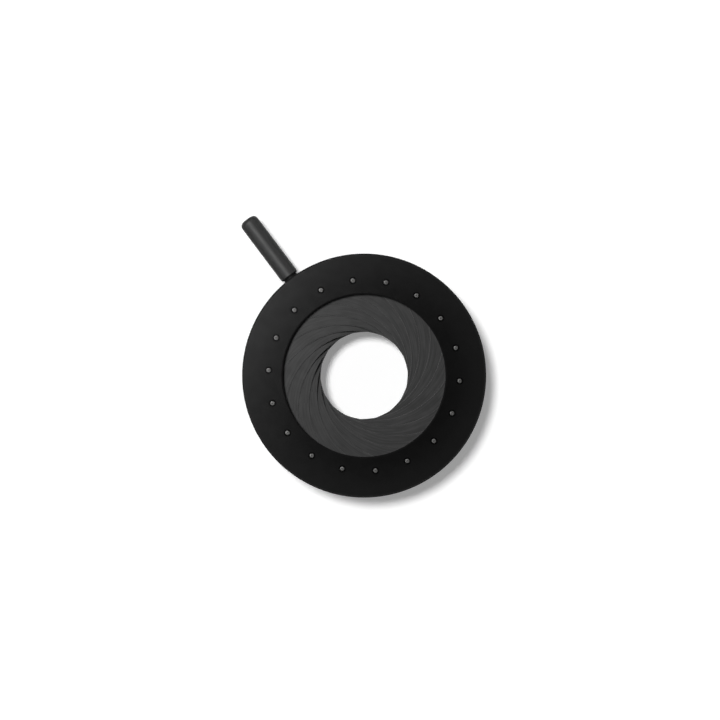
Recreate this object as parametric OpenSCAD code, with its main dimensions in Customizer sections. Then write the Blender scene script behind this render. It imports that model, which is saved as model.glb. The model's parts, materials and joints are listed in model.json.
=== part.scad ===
// Iris diaphragm: 18 thin leaves in a black housing, opened and closed by a side lever.
// Z is the light axis, the face with the pivot pin ends looks up, and Z = 0 is the back face.

/* [Housing] */
// Diameter of the light window in the front plate
window_d = 25; // [22:0.5:28]
// Width of the housing, from the edge of the window to the outside
rim_w = 6.25; // [6:0.05:7.5]
// Thickness of the front plate
plate_t = 0.9; // [0.7:0.05:1.5]
// Thickness of the outer wall
wall_t = 1; // [0.8:0.05:1.1]
// Chamfer on the outer edges of the housing
rim_chamfer = 0.2; // [0.1:0.05:0.35]
// Chamfer round the window, on the front
window_chamfer = 0.2; // [0.1:0.05:0.4]
// Depth of the relief round the outside, past which the handle travels
relief_depth = 0.25; // [0.2:0.05:0.3]
// Room between the handle and each end of the relief
relief_margin = 0.05; // [0.03:0.01:0.08]

/* [Leaves] */
// Number of leaves
leaf_count = 18; // [16:1:18]
// Width of a leaf
leaf_w = 4; // [3.8:0.05:4.4]
// Thickness of a leaf
leaf_t = 0.05; // [0.04:0.005:0.08]
// How far the open leaves stay back from the edge of the window
leaf_setback = 0.2; // [0.1:0.05:0.3]
// Angle from the pivot to the far end of a leaf, round its own curve
leaf_span = 134; // [130:1:138]
// Running gap between two leaves
leaf_gap = 0.012; // [0.008:0.001:0.02]
// Gap between the leaves and what lies in front and behind
leaf_clearance = 0.05; // [0.03:0.01:0.15]
// Aperture as drawn
aperture_d = 13.4; // [4:0.1:22]
// Aperture when closed
closed_d = 1.2; // [1.2:0.1:3]
// Angle from the first pivot to the X axis
first_pivot = 16.8; // [0:0.1:20]

/* [Pins] */
// Diameter of the pivot pins and drive pins
pin_d = 0.7; // [0.6:0.02:0.8]
// Diameter of a pin's rivet, which holds the leaf
rivet_d = 0.45; // [0.35:0.01:0.5]
// Running clearance round a pin
pin_fit = 0.04; // [0.03:0.005:0.08]
// Clearance round a rivet in its leaf
rivet_fit = 0.01; // [0.005:0.005:0.02]
// How far outside the edge of the window a drive pin stays, at its nearest
drive_inset = 1.1; // [1:0.05:1.3]
// How far a drive pin reaches into the actuator ring
drive_depth = 1.6; // [1:0.1:1.9]
// Diameter of the dimple in the front end of a pivot pin
dimple_d = 0.28; // [0.16:0.02:0.32]
// Depth of the dimple
dimple_depth = 0.07; // [0.03:0.01:0.12]

/* [Actuator ring] */
// Thickness of the actuator ring
ring_t = 2.2; // [2.1:0.1:3]
// How far the ring stays back from the edge of the window
ring_setback = 0.1; // [0.05:0.05:0.2]
// Running clearance between the ring and the wall
ring_fit = 0.05; // [0.03:0.01:0.1]
// Running gap between the actuator ring and the retaining ring
ring_float = 0.04; // [0.02:0.01:0.08]
// Chamfer on the edges of the ring
ring_chamfer = 0.15; // [0.05:0.05:0.25]

/* [Retaining ring] */
// Thickness of the retaining ring
snap_t = 0.6; // [0.4:0.05:0.8]
// Width of the retaining ring, along the radius
snap_w = 1.2; // [1:0.1:1.5]
// Depth of its groove in the wall
groove_depth = 0.4; // [0.25:0.05:0.5]
// Wall left behind the groove, at the back
lip_t = 0.5; // [0.4:0.05:0.8]
// Clearance of the ring in its groove
snap_fit = 0.02; // [0.01:0.01:0.04]
// Angle that the ring's opening takes up
snap_opening = 14; // [8:1:24]

/* [Lever] */
// Direction of the lever as drawn, from the X axis
lever_angle = 126.9; // [125:0.1:128]
// Length of the handle
handle_len = 11.05; // [8:0.05:16]
// Diameter of the handle
handle_d = 2.94; // [2.4:0.02:3]
// Gap between the housing and the foot of the handle
foot_gap = 0.45; // [0.3:0.05:0.6]
// Rounding of the handle's tip
tip_round = 0.8; // [0.2:0.05:1]
// Chamfer at the foot of the handle
foot_chamfer = 0.15; // [0.05:0.05:0.2]
// Diameter of the neck between the handle and the housing
neck_d = 2.3; // [2.1:0.05:2.4]
// Running gap between the neck and the bottom of the relief
neck_gap = 0.1; // [0.05:0.05:0.2]
// Diameter of the stud that holds the handle in the ring
stud_d = 1.6; // [1.4:0.05:1.7]
// Clearance round the stud in its holes
stud_fit = 0.02; // [0.01:0.01:0.04]
// Depth of the stud in the ring
stud_in_ring = 2.4; // [2:0.1:2.8]
// Depth of the stud in the handle
stud_in_handle = 3; // [2:0.1:4]
// Clearance between the stud and the edges of its slot in the wall
slot_clearance = 0.2; // [0.15:0.05:0.3]

/* [Hidden] */
$fn = 96;
HOLE_FN = 32;
CUT = 1;                                   // how far a cutter runs past the face it opens

// Radii about the light axis
window_r = window_d / 2;
housing_r = window_r + rim_w;
wall_in_r = housing_r - wall_t;
pin_r = pin_d / 2;
dimple_r = dimple_d / 2;

// A leaf is a band of a circle, centred on the light axis when the leaf is fully open
leaf_in_r = window_r + leaf_setback;
leaf_out_r = leaf_in_r + leaf_w;
leaf_end_r = leaf_w / 2;
pivot_r = leaf_in_r + leaf_end_r;
pitch_angle = 360 / leaf_count;

// Turn of a leaf about its pivot, from fully open, that leaves an aperture of radius a
function leaf_turn(a) = 2 * asin((leaf_in_r - a) / (2 * pivot_r));
rest_turn = leaf_turn(aperture_d / 2);
closed_turn = leaf_turn(closed_d / 2);

// A leaf is pressed to a helical ramp about the point that meets the light axis when closed,
// so that every leaf passes over one neighbour and under the other at any aperture
ramp_centre = pivot_r * [1 - cos(closed_turn), sin(closed_turn)];
RAMP_LEAD = 0.5;                           // least lead between neighbours, in pitch angles
ramp_rate = (leaf_t + leaf_gap) / (RAMP_LEAD * pitch_angle);
pivot_at = [pivot_r, 0];
tip_at = pivot_r * [cos(leaf_span), sin(leaf_span)];
function heading(p) = let (d = p - ramp_centre, a = atan2(d[1], d[0])) a < -90 ? a + 360 : a;
function half_width(p) = asin(leaf_end_r / norm(p - ramp_centre));
ramp_start = heading(pivot_at) - half_width(pivot_at);
ramp_end = heading(tip_at) + half_width(tip_at);
leaf_rise = ramp_rate * (ramp_end - ramp_start);
function leaf_level(u) = leaf_clearance + ramp_rate * (u - ramp_start);

// Travel of a drive pin: distance from the axis and angle swept, by leaf turn from the middle
slot_near = window_r + drive_inset;
drive_arm = pivot_r + slot_near;
MID_SHARE = 0.46;                          // where the pin is nearest the axis, in closed turns
mid_turn = MID_SHARE * closed_turn;
drive_from = -mid_turn;
drive_to = closed_turn - mid_turn;
function drive_point(turn) = [drive_arm * cos(turn) - pivot_r, drive_arm * sin(turn)];
function drive_r(turn) = norm(drive_point(turn));
function drive_sweep(turn) = atan2(drive_point(turn)[1], drive_point(turn)[0]);
FIT_SHARE = 0.87;                          // where the mean ratio of ring to leaf is taken
turn_ratio = drive_sweep(FIT_SHARE * drive_to) / (FIT_SHARE * drive_to);
function drive_side(turn) = drive_r(turn) * sin(drive_sweep(turn) - turn_ratio * turn);
DRIVE_STEPS = 40;
drive_turns = [for (j = [0:DRIVE_STEPS]) drive_from + (drive_to - drive_from) * j / DRIVE_STEPS];
slot_far = max([for (turn = drive_turns) drive_r(turn)]);
slot_side = max([for (turn = drive_turns) abs(drive_side(turn))]);
slot_corner_r = pin_r + pin_fit;
slot_angle = 180 + turn_ratio * (rest_turn - mid_turn);
drive_at = pivot_at - drive_arm * [cos(mid_turn), -sin(mid_turn)];

// Levels above the back face
snap_z = lip_t + snap_fit;
ring_z = snap_z + snap_t + ring_float;
ring_top = ring_z + ring_t;
leaf_room = leaf_rise + leaf_t + 2 * leaf_clearance;
plate_z = ring_top + leaf_room;
housing_h = plate_z + plate_t;
lever_z = ring_z + ring_t / 2;

// Rings
ring_in_r = window_r + ring_setback;
ring_out_r = wall_in_r - ring_fit;
snap_out_r = wall_in_r + groove_depth - snap_fit;
snap_in_r = snap_out_r - snap_w;

// Lever
foot_r = housing_r + foot_gap;
lever_slot_h = stud_d + 2 * slot_clearance;
MILL_UNDERSIZE = 0.04;                     // the slot is widened past the cutter that rounds its ends
opening_turn = turn_ratio * rest_turn;
closing_turn = turn_ratio * (closed_turn - rest_turn);

function two_digits(i) = str(i < 10 ? "0" : "", i);
function leaf_name(i) = str("leaf_", two_digits(i));
function pins_name(i) = str("leaf_pins_", two_digits(i));

// Frame of leaf i: its pivot on the X axis, Z running back from the inside of the front plate
module leaf_frame(i) {
    translate([0, 0, plate_z])
        rotate([0, 0, first_pivot + pitch_angle * (i - 1)])
            rotate([180, 0, 0])
                translate([pivot_r, 0, 0])
                    rotate([0, 0, rest_turn])
                        translate([-pivot_r, 0, 0])
                            children();
}

// Turns a part drawn along +Z into the lever's direction, at the lever's height
module along_lever(angle = lever_angle) {
    translate([0, 0, lever_z])
        rotate([90, 0, angle + 90])
            children();
}

// ---- Housing ----

// Half section of the front plate and the wall, with the groove of the retaining ring inside
// and the lever's relief outside
module housing_section() {
    groove_r = wall_in_r + groove_depth;
    groove_top = snap_z + snap_t + snap_fit;
    relief_r = housing_r - relief_depth;
    relief_half = handle_d / 2 + relief_margin;
    polygon([
        [window_r, plate_z],
        [window_r, housing_h - window_chamfer],
        [window_r + window_chamfer, housing_h],
        [housing_r - rim_chamfer, housing_h],
        [housing_r, housing_h - rim_chamfer],
        [housing_r, lever_z + relief_half],
        [relief_r, lever_z + relief_half],
        [relief_r, lever_z - relief_half],
        [housing_r, lever_z - relief_half],
        [housing_r, rim_chamfer],
        [housing_r - rim_chamfer, 0],
        [wall_in_r, 0],
        [wall_in_r, lip_t],
        [groove_r, lip_t],
        [groove_r, groove_top],
        [wall_in_r, groove_top],
        [wall_in_r, plate_z]
    ]);
}

// Slot in the wall in which the lever's stud travels
module lever_slot() {
    first = lever_angle - closing_turn;
    travel = closing_turn + opening_turn;
    end_turn = asin(slot_clearance / housing_r);
    translate([0, 0, lever_z - lever_slot_h / 2])
        rotate_extrude(angle = travel + 2 * end_turn, start = first - end_turn)
            translate([wall_in_r - CUT, 0])
                square([wall_t + 2 * CUT, lever_slot_h]);
    for (angle = [first - end_turn, first + travel + end_turn])
        along_lever(angle)
            translate([0, 0, wall_in_r - CUT])
                cylinder(d = lever_slot_h - MILL_UNDERSIZE, h = wall_t + 2 * CUT, $fn = HOLE_FN);
}

module pivot_holes() {
    for (i = [1:leaf_count])
        rotate([0, 0, first_pivot + pitch_angle * (i - 1)])
            translate([pivot_r, 0, plate_z - CUT])
                cylinder(r = pin_r + pin_fit, h = plate_t + 2 * CUT, $fn = HOLE_FN);
}

module housing() {
    color("#1d1d1e")
        difference() {
            rotate_extrude()
                housing_section();
            pivot_holes();
            lever_slot();
        }
}

// ---- Actuator ring ----

module ring_section() {
    polygon([
        [ring_in_r + ring_chamfer, ring_z],
        [ring_out_r - ring_chamfer, ring_z],
        [ring_out_r, ring_z + ring_chamfer],
        [ring_out_r, ring_top - ring_chamfer],
        [ring_out_r - ring_chamfer, ring_top],
        [ring_in_r + ring_chamfer, ring_top],
        [ring_in_r, ring_top - ring_chamfer],
        [ring_in_r, ring_z + ring_chamfer]
    ]);
}

// Radial slot with rounded corners, wide enough for the side play of its drive pin
module drive_slot() {
    linear_extrude(ring_t + 2 * CUT) {
        translate([slot_near - slot_corner_r, -slot_side])
            square([slot_far - slot_near + 2 * slot_corner_r, 2 * slot_side]);
        translate([slot_near, -slot_side - slot_corner_r])
            square([slot_far - slot_near, 2 * (slot_side + slot_corner_r)]);
        for (x = [slot_near, slot_far], y = [-slot_side, slot_side])
            translate([x, y])
                circle(r = slot_corner_r, $fn = HOLE_FN);
    }
}

module actuator_ring() {
    color("#2a2a2b")
        difference() {
            rotate_extrude()
                ring_section();
            for (i = [1:leaf_count])
                rotate([0, 0, first_pivot + pitch_angle * (i - 1) - slot_angle])
                    translate([0, 0, ring_z - CUT])
                        drive_slot();
            along_lever()
                translate([0, 0, ring_out_r - stud_in_ring])
                    cylinder(d = stud_d + 2 * stud_fit, h = stud_in_ring + CUT, $fn = HOLE_FN);
        }
}

// ---- Retaining ring ----

module retaining_ring() {
    color("#5b5d60")
        translate([0, 0, snap_z])
            rotate_extrude(angle = 360 - snap_opening, start = lever_angle + 180 + snap_opening / 2)
                translate([snap_in_r, 0])
                    square([snap_w, snap_t]);
}

// ---- Lever ----

module handle_section() {
    r = handle_d / 2;
    neck_end = -(foot_gap + relief_depth - neck_gap);
    polygon([
        [0, neck_end],
        [neck_d / 2, neck_end],
        [neck_d / 2, 0],
        [r - foot_chamfer, 0],
        [r, foot_chamfer],
        [r, handle_len - tip_round],
        [r - tip_round, handle_len - tip_round],
        [0, handle_len - tip_round]
    ]);
    translate([0, handle_len - 2 * tip_round])
        square([r - tip_round, 2 * tip_round]);
    intersection() {
        translate([r - tip_round, handle_len - tip_round])
            circle(r = tip_round, $fn = HOLE_FN);
        translate([0, handle_len - 2 * tip_round])
            square([r, 2 * tip_round]);
    }
}

module lever_handle() {
    color("#3a3a3c")
        along_lever()
            translate([0, 0, foot_r])
                difference() {
                    rotate_extrude()
                        handle_section();
                    translate([0, 0, -CUT])
                        cylinder(d = stud_d + 2 * stud_fit, h = CUT + stud_in_handle, $fn = HOLE_FN);
                }
}

module lever_stud() {
    stud_start = ring_out_r - stud_in_ring + stud_fit;
    stud_end = foot_r + stud_in_handle - stud_fit;
    color("#8b8d90")
        along_lever()
            translate([0, 0, stud_start])
                cylinder(d = stud_d, h = stud_end - stud_start, $fn = HOLE_FN);
}

// ---- Leaves ----

// Distances along the ray at heading u from the ramp centre to a circle, far side and near side
function far_side(centre, r, u) =
    let (m = centre - ramp_centre, along = m * [cos(u), sin(u)])
    along + sqrt(max(0, r * r - m * m + along * along));
function near_side(centre, r, u) =
    let (m = centre - ramp_centre, along = m * [cos(u), sin(u)])
    along - sqrt(max(0, r * r - m * m + along * along));
function on_ray(s, u) = ramp_centre + s * [cos(u), sin(u)];
function bearing(p) = atan2(p[1], p[0]);

// Where a ray enters and leaves the leaf: a curved edge, or the round end past it
function leaf_entry(u) =
    let (s = far_side([0, 0], leaf_in_r, u), a = bearing(on_ray(s, u)))
    a < 0 ? near_side(pivot_at, leaf_end_r, u)
    : a > leaf_span ? near_side(tip_at, leaf_end_r, u)
    : s;
function leaf_exit(u) =
    let (s = far_side([0, 0], leaf_out_r, u), a = bearing(on_ray(s, u)))
    a < 0 ? far_side(pivot_at, leaf_end_r, u)
    : a > leaf_span ? far_side(tip_at, leaf_end_r, u)
    : s;

LEAF_RAYS = 60;                            // rays across a leaf, closer at its ends and its middle
RAY_CROWDING = 0.25;
END_INSET = 0.05;                          // degrees left off at a round end, where rays touch it
function ray_heading(j) =
    let (f = j / LEAF_RAYS, share = f - RAY_CROWDING * sin(720 * f) / (4 * PI))
    ramp_start + END_INSET + (ramp_end - ramp_start - 2 * END_INSET) * share;

// The four corners of the leaf on one ray: inner and outer edge, front and back
function leaf_corners(u) =
    let (inner = on_ray(leaf_entry(u), u), outer = on_ray(leaf_exit(u), u), z = leaf_level(u))
    [[inner[0], inner[1], z], [outer[0], outer[1], z],
     [outer[0], outer[1], z + leaf_t], [inner[0], inner[1], z + leaf_t]];

module leaf_blank() {
    corners = [for (j = [0:LEAF_RAYS]) each leaf_corners(ray_heading(j))];
    sides = [for (j = [0:LEAF_RAYS - 1], k = [0:3])
        let (a = 4 * j + k, b = 4 * j + (k + 1) % 4)
        each [[a, b, b + 4], [a, b + 4, a + 4]]];
    last = 4 * LEAF_RAYS;
    polyhedron(points = corners, faces = concat(
        sides, [[3, 2, 1, 0]], [[last, last + 1, last + 2, last + 3]]));
}

RIVET_FN = 12;
module rivet_hole(p) {
    z = leaf_level(heading(p));
    translate([p[0], p[1], z - leaf_t])
        cylinder(r = (rivet_d / 2 + rivet_fit) / cos(180 / RIVET_FN), h = 3 * leaf_t, $fn = RIVET_FN);
}

module leaf(i) {
    color("#4a4a4c")
        leaf_frame(i)
            difference() {
                leaf_blank();
                rivet_hole(pivot_at);
                rivet_hole(drive_at);
            }
}

// The pivot pin runs forward into the front plate, and the drive pin back into the ring
module leaf_pins(i) {
    pivot_level = leaf_level(heading(pivot_at));
    drive_level = leaf_level(heading(drive_at));
    pin_end = leaf_room + drive_depth;
    color("#b9bbbd")
        leaf_frame(i) {
            translate([pivot_at[0], pivot_at[1], -plate_t])
                difference() {
                    union() {
                        cylinder(r = pin_r, h = plate_t + pivot_level - rivet_fit, $fn = HOLE_FN);
                        cylinder(d = rivet_d, h = plate_t + pivot_level + leaf_t / 2, $fn = HOLE_FN);
                    }
                    translate([0, 0, -dimple_depth])
                        cylinder(r1 = 2 * dimple_r, r2 = 0, h = 2 * dimple_depth, $fn = HOLE_FN);
                }
            translate([drive_at[0], drive_at[1], drive_level + leaf_t / 2])
                cylinder(d = rivet_d, h = pin_end - drive_level - leaf_t / 2, $fn = HOLE_FN);
            translate([drive_at[0], drive_at[1], drive_level + leaf_t + rivet_fit])
                cylinder(r = pin_r, h = pin_end - drive_level - leaf_t - rivet_fit, $fn = HOLE_FN);
        }
}

housing();
actuator_ring();
retaining_ring();
lever_handle();
lever_stud();
for (i = [1:leaf_count]) leaf(i);
for (i = [1:leaf_count]) leaf_pins(i);
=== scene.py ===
"""Looks of an iris diaphragm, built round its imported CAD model. Lengths are in metres."""

import json
import math

import bpy
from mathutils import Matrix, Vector


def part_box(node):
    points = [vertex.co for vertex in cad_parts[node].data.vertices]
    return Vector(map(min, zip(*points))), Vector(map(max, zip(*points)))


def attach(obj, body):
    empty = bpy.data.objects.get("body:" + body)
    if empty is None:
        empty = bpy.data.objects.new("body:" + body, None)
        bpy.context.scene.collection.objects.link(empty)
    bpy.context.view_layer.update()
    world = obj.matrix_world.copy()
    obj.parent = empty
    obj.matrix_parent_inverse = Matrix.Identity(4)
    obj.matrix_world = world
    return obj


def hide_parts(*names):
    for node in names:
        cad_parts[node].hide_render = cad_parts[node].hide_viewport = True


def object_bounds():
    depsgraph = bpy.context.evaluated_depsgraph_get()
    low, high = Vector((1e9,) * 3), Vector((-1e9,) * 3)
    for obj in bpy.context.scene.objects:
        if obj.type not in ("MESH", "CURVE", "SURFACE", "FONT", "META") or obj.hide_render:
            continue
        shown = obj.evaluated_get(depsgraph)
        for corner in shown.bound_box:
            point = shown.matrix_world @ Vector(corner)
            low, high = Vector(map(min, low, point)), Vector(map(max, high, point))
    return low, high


MM = 0.001
MICRON = 1e-6
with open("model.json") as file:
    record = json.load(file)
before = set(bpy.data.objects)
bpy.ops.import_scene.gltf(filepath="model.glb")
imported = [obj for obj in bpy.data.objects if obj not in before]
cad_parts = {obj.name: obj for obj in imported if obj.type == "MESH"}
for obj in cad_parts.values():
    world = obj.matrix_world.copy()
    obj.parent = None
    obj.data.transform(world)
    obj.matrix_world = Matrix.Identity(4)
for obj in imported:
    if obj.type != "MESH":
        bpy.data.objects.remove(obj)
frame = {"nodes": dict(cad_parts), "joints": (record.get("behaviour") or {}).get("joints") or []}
cad_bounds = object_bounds()
NODES = frame["nodes"]
LEAF_JOINTS = {j["child"]: j for j in frame["joints"] if j["child"].startswith("leaf_")}


def on_bearing(radius, degrees):
    return Vector((radius * math.cos(math.radians(degrees)), radius * math.sin(math.radians(degrees))))


def turned_by(point, degrees):
    c, s = math.cos(math.radians(degrees)), math.sin(math.radians(degrees))
    return Vector((point.x * c - point.y * s, point.x * s + point.y * c))


def spread(node, centre, above=-1.0):
    """Distances from a vertical axis of those points of a node that lie above a level."""
    return [(v.co.xy - centre).length for v in NODES[node].data.vertices if v.co.z > above]


def leaf_turn(aperture_r):
    """Degrees that a leaf turns from fully open to an aperture of this radius."""
    return math.degrees(2 * math.asin((LEAF_IN - aperture_r) / (2 * PIVOT_R)))


def bow_centre(pivot):
    """Centre of a leaf's curve, which is on the light axis when the iris is fully open."""
    return pivot - turned_by(pivot, -REST_TURN)


# Places and sizes taken from the frame. The light axis is the Z axis.
LIGHT_AXIS = Vector((0, 0))
_, housing_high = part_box("housing")
HOUSING_R = housing_high.x
FRONT_Z = housing_high.z
WINDOW_R = min(spread("housing", LIGHT_AXIS))
front_face = spread("housing", LIGHT_AXIS, above=FRONT_Z - 0.01 * MM)
WINDOW_FLAT_R = min(front_face)            # the flat face lies between the two chamfers
RIM_FLAT_R = max(front_face)
first_pivot = Vector(LEAF_JOINTS["leaf_01"]["pos_m"]).xy
PIVOT_R = first_pivot.length
PIVOT_BEARING = math.atan2(first_pivot.y, first_pivot.x)
PIVOT_PITCH = 2 * math.pi / len(LEAF_JOINTS)
PIN_REACH = 1 * MM                         # the points of a leaf's pivot pin lie within this
PIN_R = max(d for d in spread("leaf_pins_01", first_pivot) if d < PIN_REACH)

# Sizes of the leaves, as the solids have them
APERTURE_D = 13.4 * MM                     # at rest
CLOSED_D = 1.2 * MM
LEAF_WIDTH = 4 * MM
LEAF_SPAN = 134                            # degrees from the pivot to the other end
LEAF_T = 0.05 * MM
LEAF_CLEARANCE = 0.05 * MM
RAMP_RATE = 0.0062 * MM                    # rise for each degree round the ramp's centre
LEAF_EDGE = 0.02 * MM                      # width of the rounding along a leaf's edge, which they lack
LEAF_END = LEAF_WIDTH / 2
LEAF_IN = PIVOT_R - LEAF_END
LEAF_OUT = PIVOT_R + LEAF_END
REST_TURN = leaf_turn(APERTURE_D / 2)
CLOSED_TURN = leaf_turn(CLOSED_D / 2)


# ---- Materials ----

BLACK_SHINE = 0.42                         # specular level of the anodised parts
ACTUATOR_SHADE = 0.006
ACTUATOR_ROUGH = 0.30
BLAST_GRAIN = 0.07 * MM
BLAST_DEPTH = 0.5 * MICRON
ANODISED_CLOUDS = 4 * MM
PLATE_SHADE = 0.0006
PLATE_ROUGH = 0.20
PLATE_SHEEN_FADE = 0.005                         # painted sheen: how much lighter the face is at its rim than at the window
EDGE_GLINT_R = RIM_FLAT_R - 0.05 * MM            # where a painted highlight runs along the face's outer edge
EDGE_GLINT_WIDTH = 0.12 * MM
EDGE_GLINT_SHADE = 0.006
EDGE_GLINT_PATCHES = 0.8 * MM
CHAMFER_DEPTH = 0.25 * MM                  # how far below the face the rim is kept dull
CHAMFER_BLEND = 0.02 * MM
WINDOW_SHINE = 0.30                        # share of the shine left on the window's chamfer
RIM_DULLING = 0.85                         # share of the shine lost on the rim's chamfer
PIN_RING_PAINTED_SHADE = 0.25                      # painted shade beside a pin: share of colour and shine left there
LEAF_SHADE = 0.036
LEAF_EDGE_SHADE = 0.14                     # the blanked edges are barer than the faces
LEAF_ROUGH = 0.25
LEAF_SHINE = 0.40
STREAK_WIDTH = 0.22 * MM                   # brush marks, which run along the leaf
STREAK_SQUEEZE = 0.6 * MM                  # for each radian of bearing: the less, the longer the marks
STREAK_CONTRAST = 0.16
STREAK_DEPTH = 0.15 * MICRON
LEAF_GRAIN = 0.06 * MM
LEAF_GRAIN_DEPTH = 0.3 * MICRON
LEAF_CLOUDS = 2.5 * MM
STEEL_GRAIN = 0.05 * MM
STEEL_GRAIN_DEPTH = 1.2 * MICRON
STEEL_CLOUDS = 0.25 * MM
HANDLE_SHADE = 0.017
HANDLE_ROUGH = 0.56
HANDLE_GRAIN = 0.08 * MM
HANDLE_GRAIN_DEPTH = 2 * MICRON
HANDLE_CLOUDS = 1.6 * MM
SIDE_SHINE = 0.25                          # specular level of the handle where it is seen aslant
TURNING_MARKS = 0.05 * MM
TURNING_DEPTH = 0.6 * MICRON
FOOT_SHARE = 0.85                          # of the handle's radius: thicker than its neck
NECK_PAINTED_SHADE = 0.25                          # painted shade under the handle's foot: share of colour and shine left there
NECK_BLEND = 0.02 * MM


class Finish:
    """A material built from nodes, with short calls for adding and joining them."""

    def __init__(self, name):
        self.material = bpy.data.materials.new(name)
        self.material.use_nodes = True
        self.tree = self.material.node_tree
        self.shader = self.tree.nodes["Principled BSDF"]

    def add(self, kind, inputs=(), **settings):
        node = self.tree.nodes.new(kind)
        for key, value in settings.items():
            setattr(node, key, value)
        for key, value in dict(inputs).items():
            if isinstance(value, bpy.types.NodeSocket):
                self.tree.links.new(value, node.inputs[key])
            else:
                node.inputs[key].default_value = value
        return node

    def math(self, operation, a, b=0.0):
        return self.add("ShaderNodeMath", {0: a, 1: b}, operation=operation).outputs[0]

    def place(self, centre=(0, 0, 0)):
        """Position on the object, measured from centre, which stays with it as it moves."""
        where = self.add("ShaderNodeTexCoord").outputs["Object"]
        return self.add("ShaderNodeVectorMath", {0: where, 1: centre}, operation="SUBTRACT").outputs[0]

    def split(self, vector):
        return self.add("ShaderNodeSeparateXYZ", {0: vector}).outputs

    def radius(self, vector):
        parts = self.split(vector)
        flat = self.add("ShaderNodeCombineXYZ", {0: parts[0], 1: parts[1]}).outputs[0]
        return self.add("ShaderNodeVectorMath", {0: flat}, operation="LENGTH").outputs["Value"]

    def bearing(self, vector):
        parts = self.split(vector)
        return self.math("ARCTAN2", parts[1], parts[0])

    def ramp(self, value, start, end, low=0.0, high=1.0):
        return self.add(
            "ShaderNodeMapRange",
            {"Value": value, "From Min": start, "From Max": end, "To Min": low, "To Max": high},
            interpolation_type="SMOOTHSTEP",
        ).outputs[0]

    def step(self, value, place, half_width, low, high):
        """From low to high as value passes place."""
        return self.ramp(value, place - half_width, place + half_width, low, high)

    def noise(self, vector, size, detail=2.0, low=0.0, high=1.0):
        """Noise whose features are about size metres across, from low to high."""
        raw = self.add(
            "ShaderNodeTexNoise",
            {"Vector": vector, "Scale": 1 / size, "Detail": detail, "Roughness": 0.55},
        ).outputs["Fac"]
        return self.ramp(raw, 0.3, 0.7, low, high)

    def band(self, value, centre, half_width):
        """1 at centre, falling to 0 at half_width on each side."""
        away = self.math("ABSOLUTE", self.math("SUBTRACT", value, centre))
        return self.ramp(away, 0.0, half_width, 1.0, 0.0)

    def grey(self, value, tint=(1, 1, 1)):
        return self.add(
            "ShaderNodeCombineColor", {i: self.math("MULTIPLY", value, t) for i, t in enumerate(tint)}
        ).outputs[0]

    def bump(self, heights):
        """Chains (height, depth in metres) pairs into one normal."""
        normal = None
        for height, depth in heights:
            inputs = {"Height": height, "Distance": depth, "Strength": 1.0}
            if normal is not None:
                inputs["Normal"] = normal
            normal = self.add("ShaderNodeBump", inputs).outputs[0]
        self.tree.links.new(normal, self.shader.inputs["Normal"])

    def set(self, **sockets):
        for name, value in sockets.items():
            socket = self.shader.inputs[name.replace("_", " ")]
            if isinstance(value, bpy.types.NodeSocket):
                self.tree.links.new(value, socket)
            else:
                socket.default_value = value
        return self.material


def black_anodised(name, shade, rough):
    """Blasted and anodised aluminium. Returns the finish, its position, its radius and its colour."""
    f = Finish(name)
    where = f.place()
    clouds = f.noise(where, ANODISED_CLOUDS, detail=3, low=0.8, high=1.2)
    colour = f.math("MULTIPLY", clouds, shade)
    f.bump([(f.noise(where, BLAST_GRAIN), BLAST_DEPTH)])
    roughness = f.noise(where, 1.5 * MM, detail=3, low=rough - 0.006, high=rough + 0.006)
    f.set(Roughness=roughness, Specular_IOR_Level=BLACK_SHINE)
    return f, where, f.radius(where), colour


def actuator_black():
    f, _, _, colour = black_anodised("actuator_finish", ACTUATOR_SHADE, ACTUATOR_ROUGH)
    return f.set(Base_Color=f.grey(colour))


def from_pin(f, where, radius):
    """Distance from the middle of the nearest pivot pin."""
    turns = f.math("DIVIDE", f.math("SUBTRACT", f.bearing(where), PIVOT_BEARING), PIVOT_PITCH)
    off_pin = f.math("MULTIPLY", f.math("SUBTRACT", turns, f.math("ROUND", turns)), PIVOT_PITCH)
    across = f.math("MULTIPLY", off_pin, radius)
    along = f.math("SUBTRACT", radius, PIVOT_R)
    return f.math("SQRT", f.math("ADD", f.math("POWER", across, 2.0), f.math("POWER", along, 2.0)))


def housing_black():
    """The face carries a painted sheen that grows lighter from the window out to the rim, and a painted
    highlight in patches along its outer edge; its chamfers are dull, and painted shade darkens a ring
    round each pin."""
    f, where, radius, colour = black_anodised("housing_finish", PLATE_SHADE, PLATE_ROUGH)
    # painted sheen: the face grows lighter from the window out to its rim
    colour = f.math("ADD", colour, f.ramp(radius, WINDOW_R, HOUSING_R, low=0.0, high=PLATE_SHEEN_FADE))
    # painted highlight in patches along the face's outer edge, where it meets the chamfer
    patches = f.noise(where, EDGE_GLINT_PATCHES, detail=4, low=0.5, high=1.0)
    edge_glint = f.math("MULTIPLY", f.band(radius, EDGE_GLINT_R, EDGE_GLINT_WIDTH), patches)
    colour = f.math("ADD", colour, f.math("MULTIPLY", edge_glint, EDGE_GLINT_SHADE))
    # painted shade in a ring round each pin, lowering colour and shine alike
    pin_ring_shading = f.ramp(from_pin(f, where, radius), PIN_R, 2 * PIN_R, low=PIN_RING_PAINTED_SHADE, high=1.0)

    in_window = f.step(radius, WINDOW_FLAT_R, CHAMFER_BLEND, low=WINDOW_SHINE, high=1.0)
    on_rim = f.step(radius, RIM_FLAT_R, CHAMFER_BLEND, low=0.0, high=RIM_DULLING)
    at_front = f.ramp(f.split(where)[2], FRONT_Z - CHAMFER_DEPTH, FRONT_Z - 0.8 * CHAMFER_DEPTH)
    off_rim = f.math("SUBTRACT", 1.0, f.math("MULTIPLY", on_rim, at_front))
    flat = f.math("MULTIPLY", in_window, off_rim)
    shine = f.math("MULTIPLY", f.math("MULTIPLY", pin_ring_shading, flat), BLACK_SHINE)
    return f.set(Base_Color=f.grey(f.math("MULTIPLY", colour, pin_ring_shading)), Specular_IOR_Level=shine)


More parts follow.
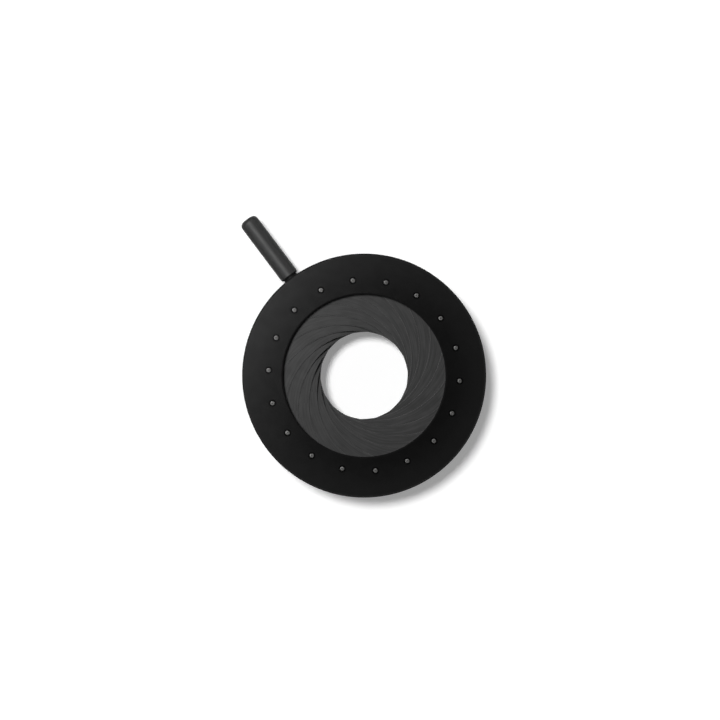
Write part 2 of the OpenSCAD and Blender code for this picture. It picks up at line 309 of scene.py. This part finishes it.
def blackened_leaf(name, centre):
    """Thin blackened spring steel, brushed round the leaf's own centre of curvature."""
    f = Finish(name)
    where = f.place(centre)
    radius = f.radius(where)
    sweep = f.math("MULTIPLY", f.bearing(where), STREAK_SQUEEZE)
    lay = f.add("ShaderNodeCombineXYZ", {0: radius, 1: sweep, 2: 0.0}).outputs[0]
    streaks = f.noise(lay, STREAK_WIDTH, detail=3)
    clouds = f.noise(where, LEAF_CLOUDS, detail=3, low=0.95, high=1.05)
    off_middle = f.math("ABSOLUTE", f.math("SUBTRACT", radius, (LEAF_IN + LEAF_OUT) / 2))
    edge = LEAF_END - LEAF_EDGE
    shade = f.ramp(off_middle, edge, edge + 0.5 * LEAF_EDGE, LEAF_SHADE, LEAF_EDGE_SHADE)
    brushed = f.ramp(streaks, 0, 1, 1 - STREAK_CONTRAST, 1 + STREAK_CONTRAST)
    colour = f.math("MULTIPLY", f.math("MULTIPLY", brushed, clouds), shade)
    f.bump([(streaks, STREAK_DEPTH), (f.noise(where, LEAF_GRAIN), LEAF_GRAIN_DEPTH)])
    return f.set(
        Base_Color=f.grey(colour),
        Roughness=f.noise(where, 1.2 * MM, detail=3, low=LEAF_ROUGH - 0.01, high=LEAF_ROUGH + 0.01),
        Specular_IOR_Level=LEAF_SHINE,
    )


def steel(name, shade, rough):
    f = Finish(name)
    where = f.place()
    f.bump([(f.noise(where, STEEL_GRAIN), STEEL_GRAIN_DEPTH)])
    tone = f.noise(where, STEEL_CLOUDS, detail=3, low=0.85 * shade, high=1.15 * shade)
    return f.set(
        Base_Color=f.grey(tone, tint=(1, 0.99, 0.97)),
        Metallic=1.0,
        Roughness=f.noise(where, 0.15 * MM, low=rough - 0.05, high=rough + 0.08),
    )


def handle_foot(axis, lever_z):
    """Distance from the light axis, along the lever, at which the handle's full width starts."""
    low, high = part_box("lever_handle")
    full = FOOT_SHARE * (high.z - low.z) / 2
    middle_line = Vector((0, 0, lever_z))
    places = [v.co - middle_line for v in NODES["lever_handle"].data.vertices]
    return min(p.dot(axis) for p in places if (p - p.dot(axis) * axis).length > full)


def satin_handle(name, axis, lever_z):
    """Dark satin metal, with fine turning marks round the lever's axis and less shine at its sides."""
    f = Finish(name)
    where = f.place((0, 0, lever_z))
    lever = {0: where, 1: tuple(axis)}
    along = f.add("ShaderNodeVectorMath", lever, operation="DOT_PRODUCT").outputs["Value"]
    lay = f.add("ShaderNodeCombineXYZ", {0: along, 1: 0.0, 2: 0.0}).outputs[0]
    marks = f.noise(lay, TURNING_MARKS, detail=3)
    clouds = f.noise(where, HANDLE_CLOUDS, detail=3, low=0.88, high=1.12)
    f.bump([(f.noise(where, HANDLE_GRAIN), HANDLE_GRAIN_DEPTH), (marks, TURNING_DEPTH)])
    facing = f.add("ShaderNodeLayerWeight", {"Blend": 0.5}).outputs["Facing"]
    shine = f.ramp(facing, start=0.05, end=0.32, low=1.0, high=SIDE_SHINE)
    # painted shade on the neck under the handle's foot, lowering colour and shine alike
    lit = f.step(along, handle_foot(axis, lever_z), NECK_BLEND, low=NECK_PAINTED_SHADE, high=1.0)
    return f.set(
        Base_Color=f.grey(f.math("MULTIPLY", f.math("MULTIPLY", clouds, HANDLE_SHADE), lit)),
        Roughness=f.noise(where, 1.2 * MM, detail=3, low=HANDLE_ROUGH - 0.02, high=HANDLE_ROUGH + 0.02),
        Specular_IOR_Level=f.math("MULTIPLY", shine, lit),
    )


def dress(node, material):
    slots = NODES[node].data.materials
    slots.clear()
    slots.append(material)


# ---- Geometry ----

def mesh_object(name, points, faces, material, body):
    mesh = bpy.data.meshes.new(name)
    mesh.from_pydata(points, [], faces)
    mesh.validate()
    mesh.materials.append(material)
    mesh.shade_smooth()
    piece = bpy.data.objects.new(name, mesh)
    bpy.context.scene.collection.objects.link(piece)
    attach(piece, body)
    return piece


def turned(profile, place, segments):
    """Points and faces of a closed profile of (radius, height) turned about a vertical axis at place."""
    points, faces = [], []
    for radius, height in profile[1:-1]:
        for k in range(segments):
            a = 2 * math.pi * k / segments
            points.append((place.x + radius * math.cos(a), place.y + radius * math.sin(a), height))
    rows = len(profile) - 2
    for row in range(rows - 1):
        for k in range(segments):
            a, b = row * segments + k, row * segments + (k + 1) % segments
            faces.append((a, b, b + segments, a + segments))
    for row, (_, height), flip in ((0, profile[0], True), (rows - 1, profile[-1], False)):
        tip = len(points)
        points.append((place.x, place.y, height))
        for k in range(segments):
            a, b = row * segments + k, row * segments + (k + 1) % segments
            faces.append((b, a, tip) if flip else (a, b, tip))
    return points, faces


def tube(steps, columns):
    """Faces of a closed tube whose rows of points, columns to a row, follow each other."""
    faces = []
    for row in range(steps):
        for k in range(columns):
            a, b = row * columns + k, row * columns + (k + 1) % columns
            faces.append((a, a + columns, b + columns, b))
    faces.append(tuple(range(columns)))
    faces.append(tuple(steps * columns + k for k in reversed(range(columns))))
    return faces


def arc(centre, radius, start, end, steps):
    """Points on an arc of a profile, with angles in degrees."""
    turns = [math.radians(start + (end - start) * k / steps) for k in range(steps + 1)]
    return [(centre[0] + radius * math.cos(t), centre[1] + radius * math.sin(t)) for t in turns]


PIN_SEGMENTS = 48
END_ROUND = 0.07 * MM
DIMPLE_R = 0.14 * MM
DIMPLE_DEPTH = 0.07 * MM
TENON_SHARE = 0.64                         # of the pin's radius


def pin_extents(points, axis):
    """Radius, ends and shoulder of the pin whose points stand round a vertical axis."""
    away = [(p.xy - axis).length for p in points]
    radius = max(away)
    shank = [p.z for p, d in zip(points, away) if d > 0.9 * radius]
    return radius, min(p.z for p in points), max(p.z for p in points), min(shank), max(shank)


def middle(points):
    xs, ys = [p.x for p in points], [p.y for p in points]
    return Vector(((min(xs) + max(xs)) / 2, (min(ys) + max(ys)) / 2))


def pin_pair(number, material):
    """Pivot pin with a dimpled, peened end that shows on the front, and drive pin with a round end."""
    body = f"leaf_{number:02d}"
    node = f"leaf_pins_{number:02d}"
    pivot = Vector(LEAF_JOINTS[body]["pos_m"]).xy
    points = [v.co for v in NODES[node].data.vertices]
    near = [p for p in points if (p.xy - pivot).length < PIN_REACH]
    far = [p for p in points if (p.xy - pivot).length >= PIN_REACH]

    radius, low, high, shoulder, _ = pin_extents(near, pivot)
    tenon = TENON_SHARE * radius
    profile = [(0, low), (tenon, low), (tenon, shoulder), (radius, shoulder)]
    profile += arc((radius - END_ROUND, high - END_ROUND), END_ROUND, 0, 90, 5)
    profile += [(DIMPLE_R, high)]
    profile += [(0.6 * DIMPLE_R, high - 0.6 * DIMPLE_DEPTH), (0, high - DIMPLE_DEPTH)]
    verts, faces = turned(profile, pivot, PIN_SEGMENTS)

    centre = middle(far)
    radius, low, high, _, shoulder = pin_extents(far, centre)
    profile = [(0, low)] + arc((radius - END_ROUND, low + END_ROUND), END_ROUND, -90, 0, 5)
    tenon = TENON_SHARE * radius
    profile += [(radius, shoulder), (tenon, shoulder), (tenon, high), (0, high)]
    rivet_verts, rivet_faces = turned(profile, centre, PIN_SEGMENTS)
    faces += [tuple(i + len(verts) for i in face) for face in rivet_faces]
    verts += rivet_verts

    piece = mesh_object(f"pin_pair_{number:02d}", verts, faces, material, body)
    piece.data.set_sharp_from_angle(angle=math.radians(35))
    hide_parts(node)


LEAF_RAYS = 200
LEAF_COLUMNS = 6                           # points in a leaf's section
RAY_CROWDING = 0.25                        # how much closer the rays stand at both ends and the middle
RAY_INSET = 0.05                           # degrees between the first ray and the leaf's very end


class LeafShape:
    """Outline and levels of a leaf along rays from the centre of its ramp. The leaf is drawn with
    its pivot on the X axis and seen from behind, as the solids are."""

    def __init__(self, pivot_r):
        self.pivot = Vector((pivot_r, 0))
        self.tip = on_bearing(pivot_r, LEAF_SPAN)
        self.centre = self.pivot - on_bearing(pivot_r, -CLOSED_TURN)
        self.start = self.heading(self.pivot) - self.half_width(self.pivot)
        self.end = self.heading(self.tip) + self.half_width(self.tip)

    def heading(self, point):
        """Angle of the ray through a point, from -90 to 270 degrees."""
        away = point - self.centre
        angle = math.degrees(math.atan2(away.y, away.x))
        return angle + 360 if angle < -90 else angle

    def half_width(self, point):
        """Half the angle that the round end at a point takes up."""
        return math.degrees(math.asin(LEAF_END / (point - self.centre).length))

    def level(self, heading):
        return LEAF_CLEARANCE + RAMP_RATE * (heading - self.start)

    def crossing(self, middle, radius, heading, side):
        """Distance along a ray to the near (-1) or far (1) side of a circle."""
        along = (middle - self.centre).dot(on_bearing(1, heading))
        apart = radius ** 2 - (middle - self.centre).length_squared + along ** 2
        return along + side * math.sqrt(max(0, apart))

    def reach(self, heading, inset, outer):
        """Distance along a ray to the inner or outer edge of the outline, drawn in by inset."""
        radius = LEAF_OUT - inset if outer else LEAF_IN + inset
        distance = self.crossing(Vector((0, 0)), radius, heading, 1)
        point = self.centre + distance * on_bearing(1, heading)
        bearing = math.degrees(math.atan2(point.y, point.x))
        if bearing < 0:
            return self.crossing(self.pivot, LEAF_END - inset, heading, 1 if outer else -1)
        if bearing > LEAF_SPAN:
            return self.crossing(self.tip, LEAF_END - inset, heading, 1 if outer else -1)
        return distance

    def section(self, heading):
        """Points of the leaf's section on one ray, with the way its surface faces at each."""
        out = on_bearing(1, heading)
        edges = [self.reach(heading, 0, False), self.reach(heading, 0, True)]
        flats = [self.reach(heading, LEAF_EDGE, False), self.reach(heading, LEAF_EDGE, True)]
        flats[0] = min(max(flats[0], edges[0]), (edges[0] + edges[1]) / 2)
        flats[1] = max(min(flats[1], edges[1]), (edges[0] + edges[1]) / 2)
        flats[1] = max(flats[0], flats[1])
        front = self.level(heading)
        rows = []
        for distance, depth, facing in (
            (edges[0], LEAF_T / 2, 0), (flats[0], 0, -1), (flats[1], 0, -1),
            (edges[1], LEAF_T / 2, 0), (flats[1], LEAF_T, 1), (flats[0], LEAF_T, 1),
        ):
            point = self.centre + distance * out
            normal = Vector((0, 0, facing)) if facing else Vector((*self.outward(point), 0))
            rows.append(((point.x, point.y, front + depth), normal))
        return rows

    def outward(self, point):
        """Level direction in which the leaf's edge faces at a point."""
        bearing = math.degrees(math.atan2(point.y, point.x))
        if bearing < 0:
            return (point - self.pivot).normalized()
        if bearing > LEAF_SPAN:
            return (point - self.tip).normalized()
        return point.normalized() * (1 if point.length > self.pivot.length else -1)


def leaf_piece(number, material):
    """Leaf with rounded edges and an even surface, in the place of its solid."""
    body = f"leaf_{number:02d}"
    place = Vector(LEAF_JOINTS[body]["pos_m"])
    pivot_r = place.xy.length
    bearing = math.degrees(math.atan2(place.y, place.x))
    inside_z = 2 * place.z - FRONT_Z       # the inside of the front plate

    def into_row(x, y, z):
        flat = turned_by(Vector((x - pivot_r, y)), REST_TURN) + Vector((pivot_r, 0))
        flat = turned_by(Vector((flat.x, -flat.y)), bearing)
        return Vector((flat.x, flat.y, inside_z - z))

    shape = LeafShape(pivot_r)
    points, normals = [], []
    for ray in range(LEAF_RAYS + 1):
        share = ray / LEAF_RAYS
        share -= RAY_CROWDING * math.sin(4 * math.pi * share) / (4 * math.pi)
        heading = shape.start + RAY_INSET + (shape.end - shape.start - 2 * RAY_INSET) * share
        for point, normal in shape.section(heading):
            points.append(into_row(*point))
            flat = turned_by(Vector((normal.x, normal.y)), REST_TURN)
            flat = turned_by(Vector((flat.x, -flat.y)), bearing)
            normals.append(Vector((flat.x, flat.y, -normal.z)))
    faces = tube(LEAF_RAYS, LEAF_COLUMNS)
    name = f"leaf_blade_{number:02d}"
    piece = mesh_object(name, [tuple(p) for p in points], faces, material, body)
    piece.data.normals_split_custom_set_from_vertices([tuple(n) for n in normals])
    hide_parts(body)


THREAD_PITCH = 0.35 * MM
THREAD_DEPTH = 0.19 * MM
THREAD_FLANKS = 2.3                        # steepness: the crest takes no width, the root a little
THREAD_START = 0.3                         # share of the depth that is cut at the very ends
THREAD_COLUMNS = 48
ROWS_PER_TURN = 12


def threaded_stud(material):
    """Stud of the lever with its thread cut, which shows between the housing and the handle."""
    points = [v.co for v in NODES["lever_stud"].data.vertices]
    low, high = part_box("lever_stud")
    centre_z = (low.z + high.z) / 2
    radius = (high.z - low.z) / 2
    mean = sum((p.xy for p in points), Vector((0, 0))) / len(points)
    along = Vector((mean.x, mean.y, 0)).normalized()
    across = Vector((-along.y, along.x, 0))
    start = min(p.dot(along) for p in points)
    end = max(p.dot(along) for p in points)
    rows = int((end - start) / THREAD_PITCH * ROWS_PER_TURN)
    verts = []
    for row in range(rows + 1):
        s = start + (end - start) * row / rows
        lead_in = min(1.0, min(s - start, end - s) / THREAD_PITCH + THREAD_START)
        for k in range(THREAD_COLUMNS):
            turn = k / THREAD_COLUMNS
            phase = ((s - start) / THREAD_PITCH - turn) % 1.0
            flank = max(0.0, 1 - THREAD_FLANKS * abs(phase - 0.5))
            r = radius - THREAD_DEPTH * (1 - lead_in * (1 - flank))
            a = 2 * math.pi * turn
            height = Vector((0, 0, centre_z + r * math.sin(a)))
            verts.append(tuple(s * along + r * math.cos(a) * across + height))
    faces = tube(rows, THREAD_COLUMNS)
    piece = mesh_object("threaded_stud", verts, faces, material, "actuator")
    piece.data.set_sharp_from_angle(angle=math.radians(50))
    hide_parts("lever_stud")
    return along, centre_z


# ---- Object ----

dress("housing", housing_black())
dress("actuator_ring", actuator_black())
dress("retaining_ring", steel("spring_steel", 0.20, 0.34))

pin_steel = steel("pin_steel", 0.16, 0.42)
for number, body in enumerate(sorted(LEAF_JOINTS), 1):
    bow = bow_centre(Vector(LEAF_JOINTS[body]["pos_m"]).xy)
    leaf_piece(number, blackened_leaf(f"leaf_finish_{number:02d}", (bow.x, bow.y, 0)))
    pin_pair(number, pin_steel)

lever_axis, lever_z = threaded_stud(steel("stud_steel", 0.30, 0.34))
dress("lever_handle", satin_handle("handle_finish", lever_axis, lever_z))


# ---- Floor, light and camera ----

FLOOR_SIZE = 3.0
FLOOR_GAP = 0.02 * MM
FLOOR_SHADE = 0.87
FLOOR_LIFT = 0.25                          # how much brighter the paper shows to the camera
SUN_TILT = 22.3                            # degrees from straight down
SUN_BEARING = 136.5                        # degrees from the X axis
SUN_SPREAD = 16.5                          # degrees across
SUN_STRENGTH = 2.8
CARD_DISTANCE = 0.42                       # the same light, as surfaces mirror it
CARD_TILT = 20.3
CARD_BEARING = 150
CARD_STRENGTH = 1.45
SKY_LOW = 0.75                             # brightness at the horizon
SKY_HIGH = 0.03                            # and overhead
SKY_FALL_START = 0.1                       # heights, as sines, between which it falls
SKY_FALL_END = 0.6


def seen_directly(tree):
    """1 for what the camera sees, also in a reflection or through glass."""
    path = tree.nodes.new("ShaderNodeLightPath")
    total = path.outputs["Is Camera Ray"]
    for name in ("Is Glossy Ray", "Is Transmission Ray"):
        either = tree.nodes.new("ShaderNodeMath")
        either.operation = "MAXIMUM"
        tree.links.new(total, either.inputs[0])
        tree.links.new(path.outputs[name], either.inputs[1])
        total = either.outputs[0]
    return total


def paper_floor():
    f = Finish("paper")
    lift = f.math("MULTIPLY", seen_directly(f.tree), FLOOR_LIFT)
    f.set(Base_Color=(FLOOR_SHADE, FLOOR_SHADE, FLOOR_SHADE, 1), Roughness=0.9, Specular_IOR_Level=0.0)
    f.set(Emission_Color=(1, 1, 1, 1), Emission_Strength=lift)
    half = FLOOR_SIZE / 2
    mesh = bpy.data.meshes.new("floor")
    z = cad_bounds[0][2] - FLOOR_GAP
    corners = [(-half, -half, z), (half, -half, z), (half, half, z), (-half, half, z)]
    mesh.from_pydata(corners, [], [(0, 1, 2, 3)])
    mesh.materials.append(f.material)
    floor = bpy.data.objects.new("floor", mesh)
    bpy.context.scene.collection.objects.link(floor)


def sky():
    world = bpy.data.worlds.new("studio")
    world.use_nodes = True
    bpy.context.scene.world = world
    tree = world.node_tree
    where = tree.nodes.new("ShaderNodeTexCoord")
    parts = tree.nodes.new("ShaderNodeSeparateXYZ")
    fall = tree.nodes.new("ShaderNodeMapRange")
    fall.interpolation_type = "SMOOTHSTEP"
    fall.inputs["From Min"].default_value = SKY_FALL_START
    fall.inputs["From Max"].default_value = SKY_FALL_END
    fall.inputs["To Min"].default_value = SKY_LOW
    fall.inputs["To Max"].default_value = SKY_HIGH
    tree.links.new(where.outputs["Generated"], parts.inputs[0])
    tree.links.new(parts.outputs[2], fall.inputs["Value"])
    tree.links.new(fall.outputs[0], tree.nodes["Background"].inputs["Strength"])
    tree.nodes["Background"].inputs["Color"].default_value = (1, 1, 1, 1)


def key_light():
    """The key light: a distant one for what it lights, and a near disc for what mirrors it."""
    distant = bpy.data.lights.new("key", "SUN")
    distant.energy = SUN_STRENGTH
    distant.angle = math.radians(SUN_SPREAD)
    near = bpy.data.lights.new("key_card", "AREA")
    near.shape = "DISK"
    near.size = 2 * CARD_DISTANCE * math.tan(math.radians(SUN_SPREAD / 2))
    near.energy = CARD_STRENGTH * math.pi * CARD_DISTANCE ** 2
    for lamp, tilt, bearing in ((distant, SUN_TILT, SUN_BEARING), (near, CARD_TILT, CARD_BEARING)):
        key = bpy.data.objects.new(lamp.name, lamp)
        key.rotation_euler = (0, math.radians(tilt), math.radians(bearing))
        key.location = key.rotation_euler.to_matrix() @ Vector((0, 0, CARD_DISTANCE))
        key.visible_glossy = lamp is near
        key.visible_diffuse = lamp is distant
        bpy.context.scene.collection.objects.link(key)


# The picture is 720 pixels wide, and the housing's diameter measures about 244 of them
PHOTO_PIXELS = 720
HOUSING_PIXELS = 244.3
AXIS_PIXEL = (364.16, 375.59)              # where the light axis meets the picture
PIXEL = 2 * HOUSING_R / HOUSING_PIXELS
CAMERA_DISTANCE = 0.32
SENSOR = 36.0


def camera():
    data = bpy.data.cameras.new("camera")
    data.sensor_width = SENSOR
    data.lens = SENSOR * CAMERA_DISTANCE / (PHOTO_PIXELS * PIXEL)
    data.clip_start = 0.005
    data.clip_end = 20
    view = bpy.data.objects.new("camera", data)
    half = PHOTO_PIXELS / 2
    view.location = (
        (half - AXIS_PIXEL[0]) * PIXEL,
        (AXIS_PIXEL[1] - half) * PIXEL,
        FRONT_Z + CAMERA_DISTANCE,
    )
    bpy.context.scene.collection.objects.link(view)
    bpy.context.scene.camera = view


paper_floor()
sky()
key_light()
camera()
bpy.context.scene.view_settings.view_transform = "Standard"
